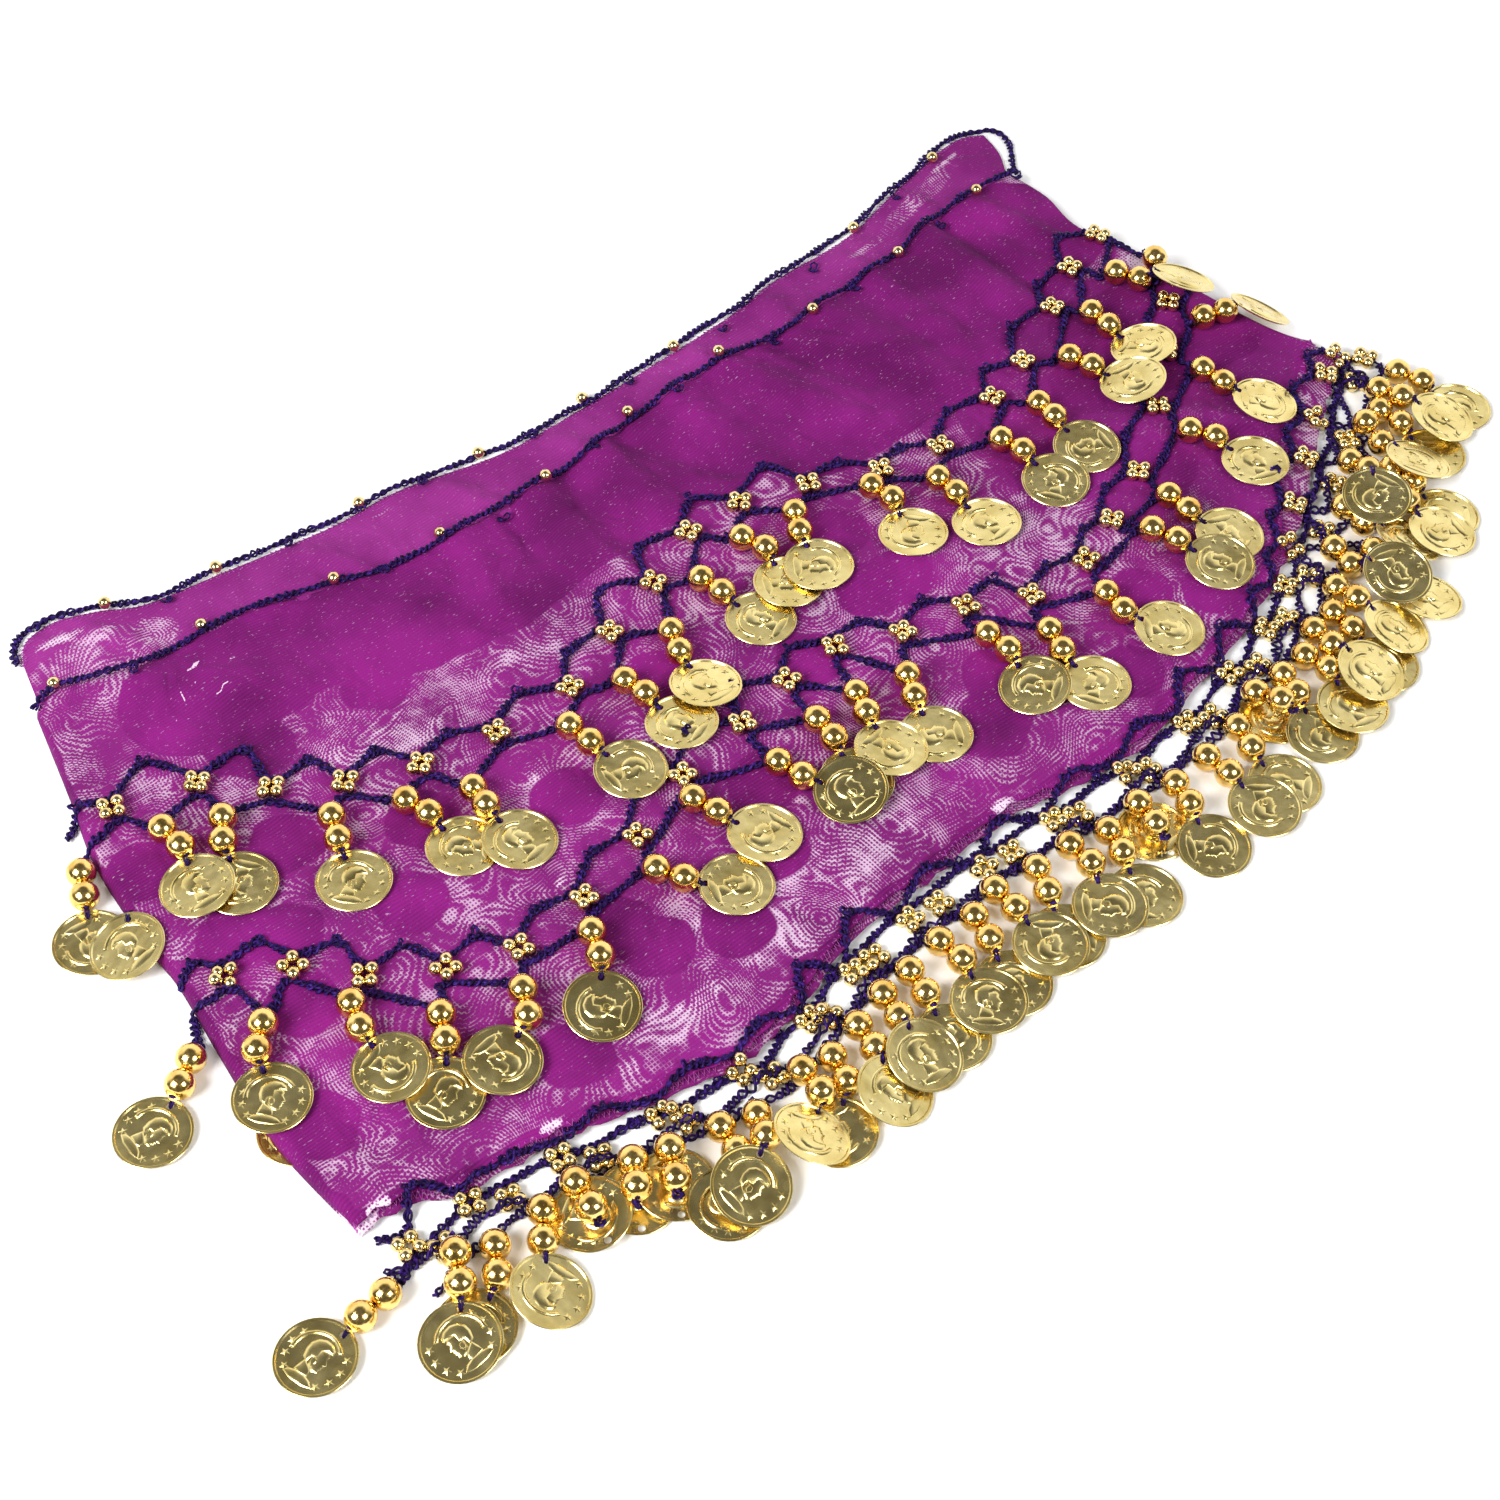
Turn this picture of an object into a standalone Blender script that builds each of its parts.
"""Belly dance hip scarf, folded flat into four layers of chiffon.

The scarf lies on its back with the waist edge along +X and the hem towards -Y. Every size is in
millimetres in the drawing's own plan, and a mesh is scaled to metres when it is made. The chiffon is a
wall, the crochet bands are flat openwork plates that lie on it, and each pendant, a cord with two large
beads and a coin, grows out of a plate's lower edge.
"""

import itertools
import math
from typing import NamedTuple

import bmesh
import bpy
from mathutils import Vector
from mathutils.bvhtree import BVHTree

MM = 0.001
PLAN_MIDDLE_X = 27.69
PLAN_MIDDLE_Y = 21.63

CLOTH_WALL = 1.0
PIECE_GAP = 0.35
FOLD_RADIUS = 4.0
FOLD_FOOT = 0.5
FOLD_FADE = 12.0
PILE_TOP = 5.2
WAIST_TOP = 3.4
WAIST_SLOPE = 34.0
HEM_TOP = 3.7
HEM_SLOPE = 12.0
BACK_TOP = 1.6
BACK_TUCK = 6.0
BACK_INSET = 2.5
BACK_RIM = 1.1
BACK_FADE = 0.35
BACK_SIDE_FADE = 12.0
HIDDEN_START_ROW = 1
LAYER_STEP = 1.7
STEP_SLOPE = 0.2
LAYER_TOPS = (2.3, 1.2)
EDGING_OUT = 0.8
EDGING_STATIONS = 40

CHAIN_WIDTH = 2.2
CHAIN_THICK = 1.2
CLUSTER_HALF = 3.6
END_HALF = 1.3
STRAND_HALF = 0.7
BEAD_RADIUS = 4.0
BEAD_PITCH = 7.8
BEAD_HALF = 3.5
BEAD_BELT = 2.2
COIN_RADIUS = 10.0
COIN_HALF_THICK = 0.5
COIN_SIDES = 8
COIN_REACH = 13.4
COIN_DROP = 1.2
TUCKED = -1
TUCKED_UNDER = -2

CLEARANCE = 0.26
LIFT_STEP = 0.25
MOST_LIFTS = 40
BEFORE_COIN = 7
CORD_START = 0.3
CORD_DROP = 2.8
TURNS = (0, 7, -7)
NUDGES = (0, 1, -1)
SLIDES = (0, 2)
TURN_COST = 0.08
SHIFT_COST = 0.6
TUCK_ROOM = 3.1
TUCK_BACK = 0.5
LOOP_RISE = 1.6
LOOP_OUT = 0.9
SKY = 50.0
ROOT_ROOM = 1.0
DIP_LEAST = 0.5
DIP_PLAIN = 7.3
DIP_SHARE = 0.35
DIP_MOST = 11.0
DIP_MARGIN = 2.8


class Point(NamedTuple):
    """A point of an edge in the plan."""

    x: float
    y: float


class Fold(NamedTuple):
    """A soft ridge from one point of the plan to another, or a trough where its height is negative."""

    x0: float
    y0: float
    x1: float
    y1: float
    half_width: float
    height: float


class Hang(NamedTuple):
    """A pendant's first bead, and the directions on to its second bead and its coin in degrees from +X.

    One with a higher layer lies on its neighbours. A TUCKED one has its coin turned back under its beads,
    and a TUCKED_UNDER one has it under its neighbours' coins too.
    """

    bead_x: float
    bead_y: float
    swing: float
    coin_swing: float
    layer: int


class Repeat(NamedTuple):
    """A cluster of small beads in a band, the chain's peak after it, and the pendant under that peak."""

    cluster_x: float
    cluster_y: float
    peak: float
    hang: Hang | None = None


WAIST_BACK = (
    Point(-135, 152),
    Point(-130, 159),
    Point(-120, 160.5),
    Point(-108, 156),
    Point(-97, 150),
    Point(-75, 146.5),
    Point(-40, 141.5),
    Point(-15, 141),
    Point(15, 134.5),
    Point(40, 134),
    Point(85, 136),
    Point(110, 138),
    Point(130, 141.5),
    Point(160, 142.5),
    Point(190, 150.5),
    Point(218, 156.5),
    Point(229, 153),
)
WAIST_FRONT = (
    Point(-142, 133),
    Point(-132, 136),
    Point(-113, 128.5),
    Point(-90, 128.5),
    Point(-65, 125),
    Point(-40, 116),
    Point(-15, 114),
    Point(10, 114),
    Point(40, 117),
    Point(85, 121),
    Point(125, 120),
    Point(160, 124),
    Point(190, 129.5),
    Point(221, 131),
)
HEM_FRONT = (
    Point(-167, -54),
    Point(-155, -55),
    Point(-140, -61),
    Point(-115, -64),
    Point(-92, -70),
    Point(-65, -75),
    Point(-40, -70),
    Point(-20, -64),
    Point(5, -63),
    Point(35, -61),
    Point(60, -65),
    Point(85, -66),
    Point(110, -60),
    Point(135, -54),
    Point(160, -43),
    Point(180, -27),
    Point(200, -10),
    Point(222, 4),
    Point(236, 13),
)
LEFT_FOLD = (
    Point(-142, 133),
    Point(-150, 103),
    Point(-157, 78),
    Point(-160.5, 45),
    Point(-161, 32),
    Point(-165, 5),
    Point(-168.5, -22),
    Point(-167, -54),
)
RIGHT_FOLD = (
    Point(221, 131),
    Point(221.5, 115),
    Point(218, 98),
    Point(222, 78),
    Point(226, 45),
    Point(230, 23),
    Point(236, 13),
)
BACK_LOWER = (
    Point(WAIST_FRONT[0].x + BACK_INSET, WAIST_FRONT[0].y - BACK_TUCK),
    *(Point(p.x, p.y - BACK_TUCK) for p in WAIST_FRONT[1:-1]),
    Point(WAIST_FRONT[-1].x - BACK_INSET, WAIST_FRONT[-1].y - BACK_TUCK),
)
BACK_LEFT = (WAIST_BACK[0], Point(-138, 141), Point(-140, 133), BACK_LOWER[0])
BACK_RIGHT = (WAIST_BACK[-1], Point(224, 141), Point(219, 132), BACK_LOWER[-1])
CORNER_EDGING = (Point(229.5, 149), Point(225.5, 140), Point(222.5, 134.5))

FRONT_FOLDS = (
    Fold(-118, 126, -84, 96, 12, 0.7),
    Fold(-62, 122, -100, 78, 15, -0.8),
    Fold(-14, 112, -22, 84, 9, 0.6),
    Fold(2, 112, -2, 92, 5, -0.7),
    Fold(12, 112, 8, 66, 10, 0.8),
    Fold(24, 114, 22, 82, 8, -0.7),
    Fold(40, 116, 36, 82, 8, 0.9),
    Fold(47, 114, 62, 84, 8, -0.7),
    Fold(72, 118, 70, 72, 9, 0.7),
    Fold(90, 120, 104, 74, 8, 0.9),
    Fold(108, 118, 118, 84, 6, -0.7),
    Fold(130, 118, 138, 70, 10, 0.8),
    Fold(152, 122, 150, 76, 7, 0.6),
    Fold(178, 126, 176, 82, 9, 0.9),
    Fold(187, 126, 188, 74, 6, -0.8),
    Fold(200, 126, 206, 92, 7, 0.7),
    Fold(-30, 30, 40, -40, 14, 0.6),
    Fold(-140, 30, -60, 0, 12, 0.6),
    Fold(60, 30, 130, -10, 14, 0.7),
    Fold(-150, -40, -40, -62, 9, -0.5),
    Fold(20, -50, 100, -52, 10, 0.6),
    Fold(150, 30, 196, 0, 10, 0.7),
)
BACK_FOLDS = (
    Fold(-112, 150, -104, 128, 6, 0.5),
    Fold(-52, 144, -42, 118, 6, 0.7),
    Fold(-8, 140, 4, 112, 5, 0.9),
    Fold(30, 134, 38, 116, 5, 0.8),
    Fold(58, 136, 54, 116, 6, 0.5),
    Fold(86, 136, 93, 118, 5, 0.9),
    Fold(122, 142, 118, 120, 7, 0.8),
    Fold(150, 142, 156, 122, 6, 0.6),
    Fold(190, 150, 186, 130, 7, 0.6),
)

TIER_1 = (
    Repeat(-158.5, 86.5, 7),
    Repeat(-145, 88, 12, Hang(-139, 72, -86, -105, 1)),
    Repeat(-123, 81, 13, Hang(-125, 65, -122, -106, 0)),
    Repeat(-109, 67, 9, Hang(-103, 47, -112, -108, 0)),
    Repeat(-93, 56, 8, Hang(-85, 39, -75, -85, 0)),
    Repeat(-74, 48, 6, Hang(-69, 31, -100, -87, 1)),
    Repeat(-52, 44, 7, Hang(-37, 31, -83, -75, 0)),
    Repeat(-27, 44, 7, Hang(-15, 35, -83, -82, 0)),
    Repeat(-6, 53, 11, Hang(6, 41, -112, -97, 1)),
    Repeat(15, 60, 10, Hang(25, 51, -82, -76, 0)),
    Repeat(35, 69, 10, Hang(44, 56, -72, -101, 0)),
    Repeat(54, 69, 10, Hang(62, 54, -120, -107, 1)),
    Repeat(74, 62, 6, Hang(86, 48, -81, -105, 0)),
    Repeat(94, 53, 5, Hang(103, 38, -90, -92, 0)),
    Repeat(114, 49, 7, Hang(128, 38, -79, -87, 1)),
    Repeat(140, 54, 8, Hang(147, 42, -98, -87, 0)),
    Repeat(158, 60, 8, Hang(170, 50, -75, -57, 1)),
    Repeat(182, 72, 7, Hang(190, 60, -90, -78, 0)),
    Repeat(199, 82, 9, Hang(208, 70, -62, -45, 1)),
    Repeat(216, 88, 0),
)
TIER_2 = (
    Repeat(-163, 26.5, 7),
    Repeat(-150, 24.5, 8, Hang(-153, 4, -135, -109, 0)),
    Repeat(-137, 15, 9, Hang(-133, -5, -108, -92, 1)),
    Repeat(-125, 1, 8, Hang(-118, -22, -117, -127, 0)),
    Repeat(-108, -10, 7, Hang(-98, -29, -118, -155, 1)),
    Repeat(-90, -17, 6, Hang(-74, -26, -112, -126, 0)),
    Repeat(-68, -15, 6, Hang(-49, -21, -62, -41, 0)),
    Repeat(-45, -8, 7, Hang(-27, -9, -75, -63, 1)),
    Repeat(-23, 0, 8, Hang(-2, -14, -75, -59, 2)),
    Repeat(0, 3, 10, Hang(15, -10, -96, -103, 0)),
    Repeat(20, 8, 8, Hang(29.2, -9, -111, -102, 1)),
    Repeat(38.8, 9, 7, Hang(45, -13, -118, -106, 0)),
    Repeat(56, 1, 7, Hang(72, -16, -86, -100, 1)),
    Repeat(76, -3, 8, Hang(86, -26, -107, -92, 0)),
    Repeat(93, -12, 5, Hang(108, -26, -97, -59, 0)),
    Repeat(114, -12, 5, Hang(135, -17, -68, -68, 1)),
    Repeat(130, -6, 6, Hang(149, -10, -90, -71, 0)),
    Repeat(151, 4, 6, Hang(173, 5, -60, -74, 0)),
    Repeat(174, 19, 6, Hang(195, 21, -86, -65, 0)),
    Repeat(194, 35, 6, Hang(211, 37, -14, -49, 0)),
    Repeat(211, 51, 6),
    Repeat(225, 60, 0),
)
HEM_FRONT_BAND = (
    Repeat(-160, -66, 11, Hang(-154, -77, -118, -127, 1)),
    Repeat(-142, -66, 5, Hang(-131, -80, -126, -120, 0)),
    Repeat(-118, -70, 6, Hang(-107, -84, -121, 59, TUCKED_UNDER)),
    Repeat(-92, -76, 6, Hang(-84, -88, -99, -140, 1)),
    Repeat(-69, -79, 6, Hang(-59, -90, -94, -140, 1)),
    Repeat(-46, -78, 10, Hang(-39, -88, -98, -110, 0)),
    Repeat(-28, -74, 11, Hang(-18, -84, -101, -102, 0)),
    Repeat(-6, -71, 8, Hang(6, -82, -103, -105, 0)),
    Repeat(20, -71, 8, Hang(29, -81, -112, -111, 0)),
    Repeat(45, -71, 7, Hang(52, -84, -106, -108, 0)),
    Repeat(71, -72, 7, Hang(77, -84, -106, -106, 0)),
    Repeat(96, -70, 9, Hang(104, -81, -108, -93, 0)),
    Repeat(118, -65, 9, Hang(127, -76, -108, -104, 0)),
    Repeat(138, -60, 7, Hang(146, -70, -99, -85, 1)),
    Repeat(154, -52, 6, Hang(163, -63, -94, -81, 0)),
    Repeat(166, -43, 6, Hang(174, -52, -100, -67, 1)),
    Repeat(178, -33, 7, Hang(188, -43, -88, -73, 0)),
    Repeat(195, -22, 7, Hang(204, -31, -100, -129, 1)),
    Repeat(210, -12, 8, Hang(218, -24, -98, -89, 0)),
    Repeat(226, -1, 7, Hang(233, -16, -79, -73, 1)),
    Repeat(241, 6, 0),
)
HEM_BACK_BAND = (
    Repeat(-167, -77, 5),
    Repeat(-154, -72, 5, Hang(-145, -80, -122, -150, 0)),
    Repeat(-134, -71, 5, Hang(-121, -80, -99, 81, TUCKED)),
    Repeat(-111, -76, 5, Hang(-98, -87, -119, 61, TUCKED)),
    Repeat(-88, -81, 5, Hang(-75, -92, -114, -145, 0)),
    Repeat(-64, -85, 5, Hang(-50, -91, -104, -140, 0)),
    Repeat(-42, -80, 5, Hang(-28, -85, -101, -104, 1)),
    Repeat(-21, -74, 5, Hang(-6, -82, -86, -102, 1)),
    Repeat(3, -72, 5, Hang(16, -82, -90, -91, 1)),
    Repeat(29, -72, 5, Hang(41, -84, -90, -112, 1)),
    Repeat(51, -74, 5, Hang(64, -83, -99, 81, TUCKED)),
    Repeat(76, -75, 5, Hang(90, -83, -86, -91, 1)),
    Repeat(103, -73, 5, Hang(116.5, -79, -81, 99, TUCKED)),
    Repeat(126, -68, 5, Hang(137, -75, -78, -108, 1)),
    Repeat(145, -61, 5, Hang(155, -69, -94, -96, 0)),
    Repeat(164, -52, 5, Hang(182, -60, -98, -88, 0)),
    Repeat(187, -40.5, 5, Hang(202, -46, -86, -87, 1)),
    Repeat(201, -31, 5, Hang(211, -41, -85, -93, 0)),
    Repeat(214, -19, 5, Hang(227, -22, -85, -93, 0)),
    Repeat(230, -6.5, 5, Hang(244, -14, -72, -82, 0)),
    Repeat(247, 0, 0),
)

TIER_1_END = Hang(-162, 73, -115, -118, 0)
TIER_1_LAST = Hang(226, 68, -76, -70, 0)
TIER_2_END = Hang(-171, 10, -143, -153, 0)
HEM_FRONT_END = Hang(-172, -74, 188, 184, 0)

FRONT_COLUMNS = 28
FRONT_ROWS = 15
BACK_COLUMNS = 34
BACK_ROWS = (0.0, 0.08, 0.45, 0.8, 1.0)
FOLD_COLUMNS = (0.0, 0.5, 1.7, FOLD_RADIUS)
PANEL_WIDTH = 375.0


def smooth(value):
    """A soft step from 0 to 1."""
    value = min(max(value, 0.0), 1.0)
    return value * value * (3 - 2 * value)


def along(points, part):
    """The place at a share of the length of a curve drawn through the points."""
    lengths = [0.0]
    for a, b in zip(points, points[1:]):
        lengths.append(lengths[-1] + math.dist(a, b))
    target = part * lengths[-1]
    index = 0
    while index < len(points) - 2 and lengths[index + 1] < target:
        index += 1
    span = lengths[index + 1] - lengths[index]
    t = (target - lengths[index]) / span
    before = points[max(index - 1, 0)]
    after = points[min(index + 2, len(points) - 1)]
    a, b = points[index], points[index + 1]
    place = []
    for p0, p1, p2, p3 in zip(before, a, b, after):
        slope_in, slope_out = (p2 - p0) / 2, (p3 - p1) / 2
        place.append(
            (2 * t**3 - 3 * t**2 + 1) * p1
            + (t**3 - 2 * t**2 + t) * slope_in
            + (3 * t**2 - 2 * t**3) * p2
            + (t**3 - t**2) * slope_out
        )
    return Point(*place)


def between_edges(top, bottom, left, right, u, v):
    """The place at u across and v down a sheet that spans its four edges."""
    t, b = along(top, u), along(bottom, u)
    le, r = along(left, v), along(right, v)
    corners = (top[0], top[-1], bottom[0], bottom[-1])
    place = []
    for axis in range(2):
        spanned = (1 - v) * t[axis] + v * b[axis] + (1 - u) * le[axis] + u * r[axis]
        top_left, top_right, low_left, low_right = (corner[axis] for corner in corners)
        ruled = (1 - v) * ((1 - u) * top_left + u * top_right) + v * ((1 - u) * low_left + u * low_right)
        place.append(spanned - ruled)
    return Point(*place)


def fold_height(folds, x, y):
    """The height that the folds add to the cloth at a place."""
    total = 0.0
    for fold in folds:
        run = Vector((fold.x1 - fold.x0, fold.y1 - fold.y0))
        offset = Vector((x - fold.x0, y - fold.y0))
        part = min(max(offset.dot(run) / run.length_squared, 0.0), 1.0)
        distance = (offset - run * part).length / fold.half_width
        if distance < 1:
            total += fold.height * (1 - distance**2) ** 2
    return total


def fold_stations(count):
    """Shares of the panel's width, closer together where the cloth rolls over a side fold."""
    rim = [step / PANEL_WIDTH for step in FOLD_COLUMNS]
    inner = [rim[-1] + (1 - 2 * rim[-1]) * step / count for step in range(1, count)]
    return rim + inner + [1 - step for step in reversed(rim)]


def front_surface():
    """Rows of points of the front panel's outer side, from the waist edge down to the hem."""
    rows = []
    for row in range(FRONT_ROWS + 1):
        v = row / FRONT_ROWS
        points = []
        for u in fold_stations(FRONT_COLUMNS):
            x, y = between_edges(WAIST_FRONT, HEM_FRONT, LEFT_FOLD, RIGHT_FOLD, u, v)
            depth = math.dist(along(WAIST_FRONT, u), along(HEM_FRONT, u))
            top = WAIST_TOP + (PILE_TOP - WAIST_TOP) * smooth(v * depth / WAIST_SLOPE)
            top -= (PILE_TOP - HEM_TOP) * (1 - smooth((1 - v) * depth / HEM_SLOPE))
            from_side = min(u, 1 - u) * PANEL_WIDTH
            roll = math.sqrt(max(0.0, 1 - max(0.0, 1 - from_side / FOLD_RADIUS) ** 2))
            rim = smooth(from_side / FOLD_FADE) * smooth((1 - v) * depth / HEM_SLOPE)
            top += fold_height(FRONT_FOLDS, x, y) * rim
            points.append(Vector((x, y, FOLD_FOOT + (top - FOLD_FOOT) * roll)))
        rows.append(points)
    return rows


def surface_normals(rows):
    """The outward normal at each point of a surface."""
    normals = []
    for j, points in enumerate(rows):
        line = []
        for i in range(len(points)):
            across = points[min(i + 1, len(points) - 1)] - points[max(i - 1, 0)]
            down = rows[min(j + 1, len(rows) - 1)][i] - rows[max(j - 1, 0)][i]
            line.append(down.cross(across).normalized())
        normals.append(line)
    return normals


def moved(rows, normals, distance):
    """The surface's points, moved along their normals."""
    return [[p + n * distance for p, n in zip(points, line)] for points, line in zip(rows, normals)]


def rim_of(rows):
    """The points round the outside of a surface, in order."""
    last = len(rows) - 1
    rim = list(rows[0])
    rim += [rows[j][-1] for j in range(1, last)]
    rim += reversed(rows[last])
    rim += [rows[j][0] for j in range(last - 1, 0, -1)]
    return rim


def grid_faces(mesh, rows, upward):
    """Adds a surface's points and faces to a mesh, and gives its rows of vertices."""
    verts = [[mesh.verts.new(p) for p in points] for points in rows]
    for j in range(len(verts) - 1):
        for i in range(len(verts[0]) - 1):
            face = [verts[j][i], verts[j + 1][i], verts[j + 1][i + 1], verts[j][i + 1]]
            mesh.faces.new(face if upward else face[::-1])
    return verts


def ring_wall(mesh, ring, lower):
    """Joins two closed rings of vertices with a band of faces."""
    for i in range(len(ring)):
        k = (i + 1) % len(ring)
        mesh.faces.new((ring[i], ring[k], lower[k], lower[i]))


def wall_mesh(rows, normals, thickness):
    """A wall of even thickness under a surface."""
    mesh = bmesh.new()
    outer = grid_faces(mesh, rows, True)
    inner = grid_faces(mesh, moved(rows, normals, -thickness), False)
    ring_wall(mesh, rim_of(outer), rim_of(inner))
    return mesh


def flat_bottom_mesh(rows, foot):
    """A solid under a surface, whose rim goes down to a flat face on the floor."""
    mesh = bmesh.new()
    top = rim_of(grid_faces(mesh, rows, True))
    lower = [mesh.verts.new(p) for p in foot]
    ring_wall(mesh, top, lower)
    mesh.faces.new(lower)
    return mesh


class Ground:
    """The pieces already laid down, to rest the next one on."""

    def __init__(self):
        self.trees = {}

    def lay(self, name, mesh):
        """Lays a mesh down, in place of its earlier state if it has grown."""
        self.trees[name] = BVHTree.FromBMesh(mesh)

    def height(self, x, y):
        """The highest surface at a place."""
        hits = [tree.ray_cast(Vector((x, y, SKY)), Vector((0, 0, -1)))[0] for tree in self.trees.values()]
        return max([0.0] + [hit.z for hit in hits if hit is not None])

    def meets(self, points, faces):
        """The faces that run into the floor or into a piece already laid down."""
        tested = BVHTree.FromPolygons(points, faces)
        found = {i for i, face in enumerate(faces) if min(points[v].z for v in face) < 0}
        for tree in self.trees.values():
            found.update(pair[0] for pair in tested.overlap(tree))
        return found


def lift_clear(mesh, groups, ground):
    """Raises groups of a mesh's vertices until every face is clear of what lies under it."""
    mesh.verts.index_update()
    group_of = {vert.index: group for group in groups for vert in group}
    faces = [[vert.index for vert in face.verts] for face in mesh.faces]
    for _ in range(MOST_LIFTS):
        points = [vert.co - Vector((0, 0, CLEARANCE)) for vert in mesh.verts]
        met = ground.meets(points, faces)
        if not met:
            return
        raised = {id(group_of[v]): group_of[v] for face in met for v in faces[face]}
        for group in raised.values():
            for vert in group:
                vert.co.z += LIFT_STEP


def heading(degrees):
    """The level direction at an angle from +X."""
    return Vector((math.cos(math.radians(degrees)), math.sin(math.radians(degrees)), 0))


def left_of(direction):
    """The level direction to the left of another."""
    return Vector((-direction.y, direction.x, 0)).normalized()


class Section(NamedTuple):
    """A rectangular section across a pendant."""

    centre: Vector
    direction: Vector
    side: Vector
    half_width: float
    half_height: float

    def corners(self, extra=0.0):
        """Its four corners, in order, moved out by a margin."""
        up = self.direction.cross(self.side)
        wide, high = self.half_width + extra, self.half_height + extra
        signs = ((-1, -1), (1, -1), (1, 1), (-1, 1))
        return [self.centre + self.side * (a * wide) + up * (b * high) for a, b in signs]


class Pendant:
    """A cord with two beads, a knot and a coin, settled on what already lies there."""

    def __init__(self, root, hang, ground, moves):
        turn, coin_turn, nudge, slide = moves
        self.root = root
        self.tucked = hang.layer <= TUCKED
        self.ground = ground
        self.swing = heading(hang.swing + turn)
        self.first = Vector((hang.bead_x, hang.bead_y, 0)) + left_of(self.swing) * nudge + self.swing * slide
        self.second = self.first + self.swing * BEAD_PITCH
        for bead in (self.first, self.second):
            bead.z = ground.height(bead.x, bead.y) + BEAD_HALF + PIECE_GAP
        if self.tucked:
            self.toward = -self.swing
            self.coin = self.second - self.swing * TUCK_BACK
        else:
            self.toward = heading(hang.coin_swing + coin_turn)
            self.coin = self.second + self.toward * COIN_REACH
        rest = ground.height(self.coin.x, self.coin.y) + COIN_HALF_THICK + PIECE_GAP
        self.near = self.far = rest
        if self.tucked:
            self.first.z = self.second.z = rest + COIN_HALF_THICK + TUCK_ROOM + BEAD_HALF
        else:
            self.near = max(rest, self.second.z - COIN_DROP)

    def sections(self):
        """The sections from the cord's end, through the beads and the knot, to the coin's far rim."""
        swing = self.swing
        along_first = (self.second - self.first).normalized()
        along_second = swing if self.tucked else (swing + self.toward).normalized()
        wide, narrow = (COIN_RADIUS * share(math.pi / COIN_SIDES) for share in (math.cos, math.sin))
        start = self.first - along_first * BEAD_RADIUS - Vector((0, 0, CORD_DROP))
        found = [Section(start, along_first, left_of(swing), STRAND_HALF, STRAND_HALF)]
        for bead, line in ((self.first, along_first), (self.second, along_second)):
            side = left_of(line)
            shapes = ((-BEAD_BELT, BEAD_HALF), (BEAD_BELT, BEAD_HALF), (BEAD_PITCH / 2, STRAND_HALF))
            found += [Section(bead + line * offset, line, side, half, half) for offset, half in shapes]
        if self.tucked:
            turn = self.coin + swing * (wide + LOOP_OUT)
            turn.z = self.near + LOOP_RISE
            found.append(Section(turn, Vector((0, 0, -1)), left_of(swing), STRAND_HALF, COIN_HALF_THICK))
        side = left_of(swing) if self.tucked else left_of(self.toward)
        for offset, half in ((-wide, narrow), (-narrow, wide), (narrow, wide), (wide, narrow)):
            centre = self.coin + self.toward * offset
            centre.z = self.near + (self.far - self.near) * (offset + COIN_RADIUS) / (2 * COIN_RADIUS)
            found.append(Section(centre, self.toward, side, half, COIN_HALF_THICK))
        return found

    def settle(self):
        """Raises the beads and the coin's two ends until nothing already laid down is in their way."""
        coin_start = BEFORE_COIN + self.tucked
        for _ in range(MOST_LIFTS):
            sections = self.sections()
            rings = [section.corners(CLEARANCE) for section in sections]
            start = [
                corner.lerp(root.co, max(0.0, 1 - CORD_START / (corner - root.co).length))
                for corner, root in zip(sections[0].corners(), self.root)
            ]
            met = [self.meets(part) for part in (
                [start] + rings[:4],
                rings[3:7],
                rings[6:coin_start + 2],
                rings[coin_start + 1:],
            )]
            if not any(met):
                return True
            if self.tucked:
                met = [True] * len(met)
            self.first.z += LIFT_STEP * met[0]
            self.second.z += LIFT_STEP * met[1]
            self.near += LIFT_STEP * met[2]
            self.far += LIFT_STEP * met[3]
        return False

    def rise(self):
        """How high the beads and the coin lie, all together."""
        return self.first.z + self.second.z + self.near + self.far

    def meets(self, rings):
        """Whether a run of sections touches what already lies there."""
        points = [corner for ring in rings for corner in ring]
        faces = [(0, 3, 2, 1), tuple(len(points) - 4 + k for k in range(4))]
        for i in range(len(rings) - 1):
            for k in range(4):
                n = (k + 1) % 4
                faces.append((4 * i + k, 4 * i + n, 4 * i + 4 + n, 4 * i + 4 + k))
        return bool(self.ground.meets(points, faces))


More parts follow.
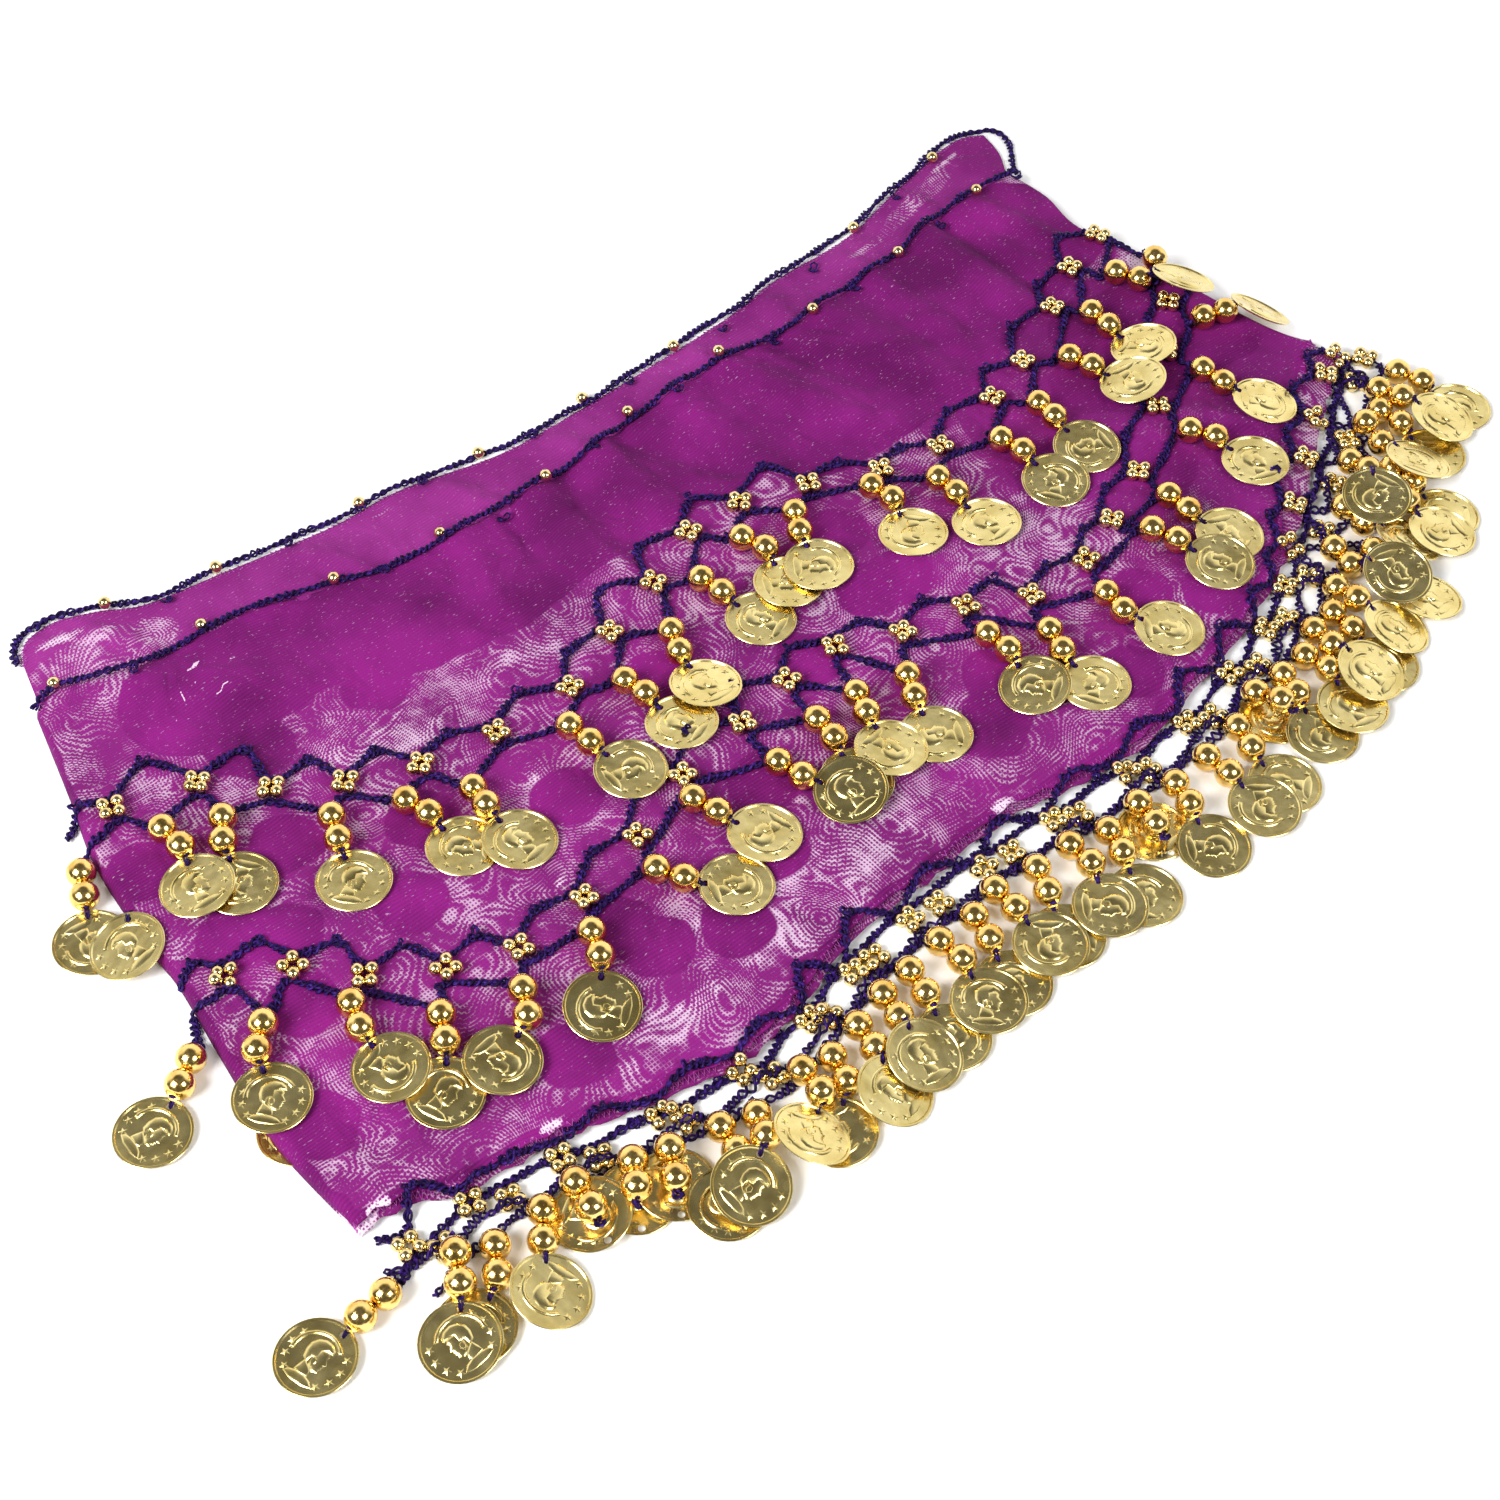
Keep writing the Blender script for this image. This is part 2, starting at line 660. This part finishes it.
class Plate:
    """A flat openwork crochet band with pendants, built as one closed mesh."""

    def __init__(self, name, repeats, ground):
        self.name = name
        self.repeats = repeats
        self.ground = ground
        self.mesh = bmesh.new()
        self.columns = []
        self.roots = []

    def post(self, x, y):
        """A lower and an upper vertex of the plate, over what lies under them."""
        low = self.ground.height(x, y) + PIECE_GAP
        column = self.mesh.verts.new((x, y, low)), self.mesh.verts.new((x, y, low + CHAIN_THICK))
        self.columns.append(column)
        return column

    def posts(self, places):
        """The vertices over several places."""
        return [self.post(place.x, place.y) for place in places]

    def panel(self, *posts):
        """The upper and lower faces over a loop of places that runs counterclockwise from above."""
        self.mesh.faces.new([upper for _, upper in posts])
        self.mesh.faces.new([lower for lower, _ in reversed(posts)])

    def side(self, a, b):
        """A face on the edge from a to b, with the plate on its left."""
        self.mesh.faces.new((a[0], b[0], b[1], a[1]))

    def grow(self, root, hang):
        """Draws a pendant out of the open side between two places."""
        (a_low, a_high), (b_low, b_high) = root
        previous = [a_low, b_low, b_high, a_high]
        for section in self.lowest_pendant(previous, hang).sections():
            current = [self.mesh.verts.new(p) for p in section.corners()]
            for k in range(4):
                n = (k + 1) % 4
                self.mesh.faces.new((previous[k], previous[n], current[n], current[k]))
            previous = current
        self.mesh.faces.new(previous)
        self.ground.lay(self.name, self.mesh)

    def lowest_pendant(self, root, hang):
        """The pendant turned or moved a little, if need be, to where it lies lowest."""
        best, least = None, math.inf
        for moves in itertools.product(TURNS, TURNS, NUDGES, SLIDES):
            turn, coin_turn, nudge, slide = moves
            move_cost = (abs(turn) + abs(coin_turn)) * TURN_COST + (abs(nudge) + slide) * SHIFT_COST
            pendant = Pendant(root, hang, self.ground, moves)
            best = best or pendant
            if pendant.rise() + move_cost < least and pendant.settle() and pendant.rise() + move_cost < least:
                best, least = pendant, pendant.rise() + move_cost
        return best

    def tangents(self):
        """The direction along the band at each cluster."""
        middles = [Vector((r.cluster_x, r.cluster_y, 0)) for r in self.repeats]
        last = len(middles) - 1
        lines = [(middles[min(i + 1, last)] - middles[max(i - 1, 0)]).normalized() for i in range(last + 1)]
        return middles, lines

    def cluster_posts(self, middle, tangent, half):
        """The left and right places of a cluster, each from the upper chain's top down."""
        up = left_of(tangent)
        outer = CLUSTER_HALF + CHAIN_WIDTH
        heights = (outer, CLUSTER_HALF, -CLUSTER_HALF, -outer)
        left = self.posts([middle - tangent * half + up * h for h in heights])
        right = self.posts([middle + tangent * half + up * h for h in heights])
        for k in range(3):
            self.panel(left[k], left[k + 1], right[k + 1], right[k])
        return left, right

    def weave(self, left_hang=None, right_hang=None, left_half=END_HALF, right_half=END_HALF):
        """Makes the plate, where a pendant may grow from either end of the band."""
        middles, lines = self.tangents()
        last = len(middles) - 1
        pillars = []
        halves = [left_half] + [CLUSTER_HALF] * (last - 1) + [right_half]
        for middle, line, half in zip(middles, lines, halves):
            pillars.append(self.cluster_posts(middle, line, half))
        left_end, right_end = pillars[0][0], pillars[-1][1]
        for k in range(2):
            self.side(left_end[k], left_end[k + 1])
            self.side(right_end[k + 1], right_end[k])
        for a, b, hang in ((left_end[2], left_end[3], left_hang), (right_end[3], right_end[2], right_hang)):
            if hang:
                self.roots.append(((a, b), hang))
            else:
                self.side(a, b)
        for i, (left, right) in enumerate(pillars):
            self.side(right[0], left[0])
            self.side(left[3], right[3])
        for i in range(last):
            chains = (pillars[i][1], pillars[i + 1][0])
            self.span(*chains, middles[i], middles[i + 1], self.repeats[i], halves[i:i + 2])
        lift_clear(self.mesh, self.columns, self.ground)
        self.ground.lay(self.name, self.mesh)
        return self

    def span(self, right, left, start, end, repeat, halves):
        """The two chains between neighbouring clusters, and the open side that a pendant grows from."""
        run = end - start
        tangent = run.normalized()
        up = left_of(tangent)
        middle = (start + end) / 2
        top, under = self.posts([middle + up * (repeat.peak + s * CHAIN_WIDTH / 2) for s in (1, -1)])
        self.panel(right[0], right[1], under, top)
        self.panel(top, under, left[1], left[0])
        self.side(top, right[0])
        self.side(left[0], top)
        self.side(right[1], under)
        self.side(under, left[1])
        shift, depth = 0.0, min(DIP_PLAIN, run.length * DIP_SHARE)
        hang = repeat.hang
        if hang:
            root = Vector((hang.bead_x, hang.bead_y, 0)) - heading(hang.swing) * (BEAD_RADIUS + ROOT_ROOM)
            left_room, right_room = (run.length / 2 - half - DIP_MARGIN for half in halves)
            shift = min(max((root - middle).dot(tangent), -left_room), right_room)
            depth = min(max(-(root - middle).dot(up), DIP_LEAST), DIP_MOST)
        base = middle + tangent * shift - up * depth
        half = CHAIN_WIDTH / 2
        low_left, low_right, high_left, high_right = self.posts(
            [base + tangent * (s * half) + up * h for h in (0, CHAIN_WIDTH) for s in (-1, 1)])
        self.panel(right[2], right[3], low_left, high_left)
        self.panel(high_left, low_left, low_right, high_right)
        self.panel(high_right, low_right, left[3], left[2])
        self.side(right[3], low_left)
        self.side(low_right, left[3])
        self.side(high_left, right[2])
        self.side(high_right, high_left)
        self.side(left[2], high_right)
        self.side(right[2], right[1])
        self.side(left[1], left[2])
        if hang:
            self.roots.append(((low_left, low_right), hang))
        else:
            self.side(low_left, low_right)


def hang_pendants(*plates):
    """Grows the pendants of several plates, from the lowest layer to the highest."""
    roots = [(plate, root, hang) for plate in plates for root, hang in plate.roots]
    for plate, root, hang in sorted(roots, key=lambda item: item[2].layer):
        plate.grow(root, hang)


def chain_mesh(points, ground):
    """A narrow crochet chain laid along a line of places."""
    mesh = bmesh.new()
    half = CHAIN_WIDTH / 2
    rings = []
    last = len(points) - 1
    for i, point in enumerate(points):
        side = left_of(points[min(i + 1, last)] - points[max(i - 1, 0)])
        place = point + side * EDGING_OUT
        low = ground.height(place.x, place.y) + PIECE_GAP
        corners = ((-half, 0), (half, 0), (half, CHAIN_THICK), (-half, CHAIN_THICK))
        rings.append([mesh.verts.new(Vector((place.x, place.y, low + h)) + side * a) for a, h in corners])
    mesh.faces.new(rings[0][::-1])
    for previous, ring in zip(rings, rings[1:]):
        for k in range(4):
            n = (k + 1) % 4
            mesh.faces.new((previous[k], previous[n], ring[n], ring[k]))
    mesh.faces.new(rings[-1])
    lift_clear(mesh, rings, ground)
    return mesh


def material(name, colour, roughness, metallic=0.0):
    """A plain surface finish."""
    finish = bpy.data.materials.new(name)
    finish.use_nodes = True
    shader = finish.node_tree.nodes["Principled BSDF"]
    shader.inputs["Base Color"].default_value = (*colour, 1.0)
    shader.inputs["Roughness"].default_value = roughness
    shader.inputs["Metallic"].default_value = metallic
    return finish


def make_object(name, mesh, finish):
    """Scales a mesh from the plan's millimetres to metres and puts it in the scene."""
    for vert in mesh.verts:
        vert.co = Vector((vert.co.x - PLAN_MIDDLE_X, vert.co.y - PLAN_MIDDLE_Y, vert.co.z)) * MM
    bmesh.ops.triangulate(mesh, faces=mesh.faces)
    data = bpy.data.meshes.new(name)
    mesh.to_mesh(data)
    mesh.free()
    data.materials.append(finish)
    piece = bpy.data.objects.new(name, data)
    bpy.context.scene.collection.objects.link(piece)
    return piece


def hidden_layers(rows, normals):
    """The solid that the folded layers under the front panel share, with stepped layers at the hem."""
    under = moved(rows, normals, -(CLOTH_WALL + PIECE_GAP))[HIDDEN_START_ROW:]
    for p in under[-1]:
        p.z = min(p.z, LAYER_TOPS[0])
    hem = under[-1]
    out = 0.0
    for index, top in enumerate(LAYER_TOPS):
        for extra in (STEP_SLOPE, LAYER_STEP) if index else (LAYER_STEP,):
            out += extra
            under.append([Vector((p.x, p.y - out, min(p.z, top))) for p in hem])
    foot = [Vector((p.x, p.y, 0.0)) for p in rim_of(under)]
    return flat_bottom_mesh(under, foot)


def back_strip():
    """The strip of the bottom layer from its waist edge to just before the front panel."""
    rows = []
    for v in BACK_ROWS:
        line = []
        for i in range(BACK_COLUMNS + 1):
            u = i / BACK_COLUMNS
            x, y = between_edges(WAIST_BACK, BACK_LOWER, BACK_LEFT, BACK_RIGHT, u, v)
            inside = smooth(v / BACK_FADE) * smooth((1 - v) / BACK_FADE)
            inside *= smooth(min(u, 1 - u) * PANEL_WIDTH / BACK_SIDE_FADE)
            top = BACK_RIM + (BACK_TOP - BACK_RIM + fold_height(BACK_FOLDS, x, y)) * inside
            line.append(Vector((x, y, top)))
        rows.append(line)
    return flat_bottom_mesh(rows, [Vector((p.x, p.y, 0.0)) for p in rim_of(rows)])


def clear_scene():
    """Removes what the scene starts with."""
    for item in list(bpy.data.objects):
        bpy.data.objects.remove(item)


def main():
    """Lays the scarf down from its hidden layers up."""
    clear_scene()
    chiffon = material("chiffon", (0.29, 0.02, 0.26), 0.55)
    under_chiffon = material("chiffon_under", (0.2, 0.01, 0.18), 0.6)
    crochet = material("crochet", (0.04, 0.01, 0.15), 0.7)
    gilt = material("gilt", (0.6, 0.42, 0.1), 0.3, 1.0)
    ground = Ground()

    rows = front_surface()
    normals = surface_normals(rows)
    hidden = hidden_layers(rows, normals)
    ground.lay("hidden_layers", hidden)
    back = back_strip()
    ground.lay("back_panel", back)
    hem_back = Plate("hem_band_back", HEM_BACK_BAND, ground).weave()
    front = wall_mesh(rows, normals, CLOTH_WALL)
    ground.lay("front_panel", front)
    hem_front = Plate("hem_band_front", HEM_FRONT_BAND, ground).weave(HEM_FRONT_END, left_half=CLUSTER_HALF)
    hang_pendants(hem_back, hem_front)
    tier_2 = Plate("tier_2_band", TIER_2, ground).weave(TIER_2_END)
    hang_pendants(tier_2)
    tier_1 = Plate("tier_1_band", TIER_1, ground).weave(TIER_1_END, TIER_1_LAST, right_half=CLUSTER_HALF)
    hang_pendants(tier_1)

    make_object("hidden_layers", hidden, under_chiffon)
    make_object("back_panel", back, chiffon)
    make_object("front_panel", front, chiffon)
    for plate in (hem_back, hem_front, tier_2, tier_1):
        make_object(plate.name, plate.mesh, gilt)
    for name, line in (("waist_edging_back", WAIST_BACK + CORNER_EDGING), ("waist_edging_front", WAIST_FRONT)):
        places = [Vector((*along(line, i / EDGING_STATIONS), 0)) for i in range(EDGING_STATIONS + 1)]
        make_object(name, chain_mesh(places, ground), crochet)


main()
